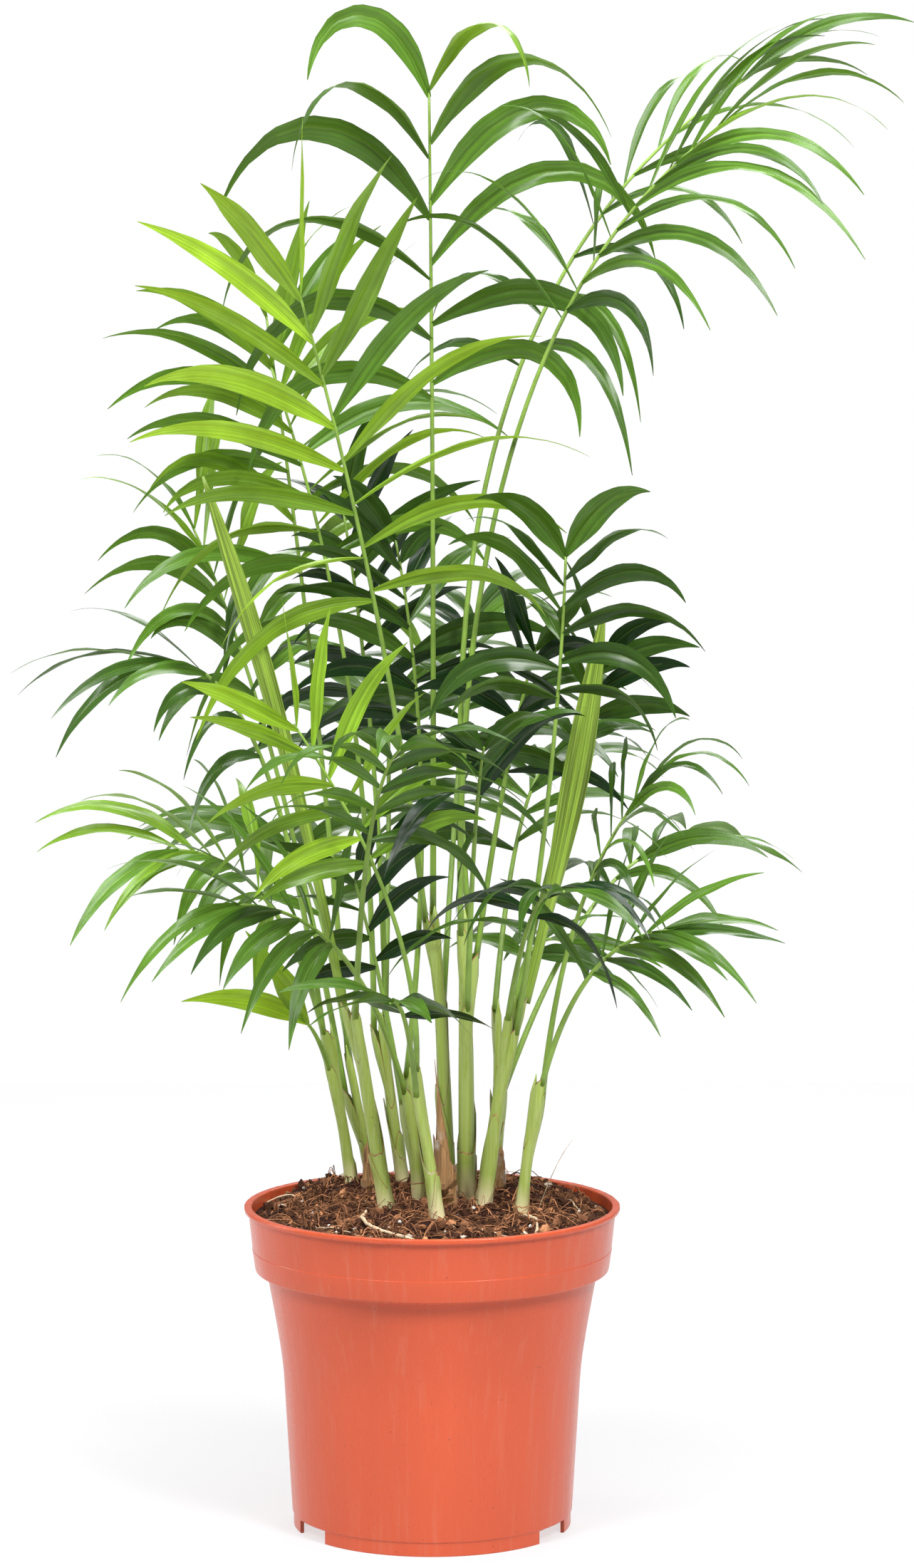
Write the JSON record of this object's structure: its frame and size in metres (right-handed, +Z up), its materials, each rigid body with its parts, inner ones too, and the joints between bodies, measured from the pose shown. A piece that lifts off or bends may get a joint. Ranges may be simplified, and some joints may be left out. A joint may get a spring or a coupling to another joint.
{
  "type": "potted parlour palm",
  "caption": "Bushy potted palm: a clump of thin cane-like shoots with arching feather fronds, standing in a round moulded pot with a deep rim.",
  "frame": {"origin": "middle of the pot's flat underside, which stands on the ground", "axes": "+Z up along the pot's axis; the side that is seen from the front faces -Y, and +X is to its right"},
  "size_m": [0.3565, 0.3429, 0.6036],
  "materials": {
    "pot_plastic": "satin",
    "potting_soil": "matte",
    "green_stem": "satin",
    "dry_sheath": "matte",
    "leaf_bright": "satin",
    "leaf_green": "satin",
    "leaf_dark": "satin"
  },
  "bodies": {
    "root": {"pot": "pot_plastic", "soil": "potting_soil", "shoot_left": "green_stem", "shoot_back_left": "green_stem", "shoot_pale": "green_stem", "shoot_back": "green_stem", "shoot_middle_left": "green_stem", "shoot_front": "green_stem", "shoot_tall": "green_stem", "shoot_thick": "green_stem", "shoot_right": "green_stem", "shoot_back_right": "green_stem", "shoot_far_right": "green_stem", "dry_sheath": "dry_sheath", "dry_stub_left": "dry_sheath", "dry_stub_right": "dry_sheath", "spear_left": "green_stem", "spear_right": "green_stem", "frond_bright_left": "leaf_bright", "frond_crown": "leaf_green", "frond_bright_low": "leaf_bright", "frond_glossy_right": "leaf_dark", "frond_arch_right": "leaf_bright", "frond_arch_back": "leaf_green", "frond_behind_left": "leaf_green", "frond_far_left": "leaf_green", "frond_left_middle": "leaf_green", "frond_reach_left": "leaf_dark", "frond_low_left": "leaf_green", "frond_drooping_left": "leaf_green", "leaf_pair_left": "leaf_bright", "frond_fine_right": "leaf_green", "frond_low_right": "leaf_dark", "frond_front_right": "leaf_dark", "frond_front": "leaf_dark", "frond_low_middle": "leaf_green", "frond_inner_left": "leaf_dark", "frond_inner": "leaf_dark", "frond_right": "leaf_dark", "frond_dark_right": "leaf_dark", "frond_dark_left": "leaf_dark", "frond_low_back_right": "leaf_green", "frond_front_left": "leaf_green", "frond_back": "leaf_green", "frond_back_left": "leaf_green", "frond_back_middle": "leaf_green", "frond_back_right": "leaf_green", "frond_far_back_right": "leaf_green"}
  },
  "joints": []
}
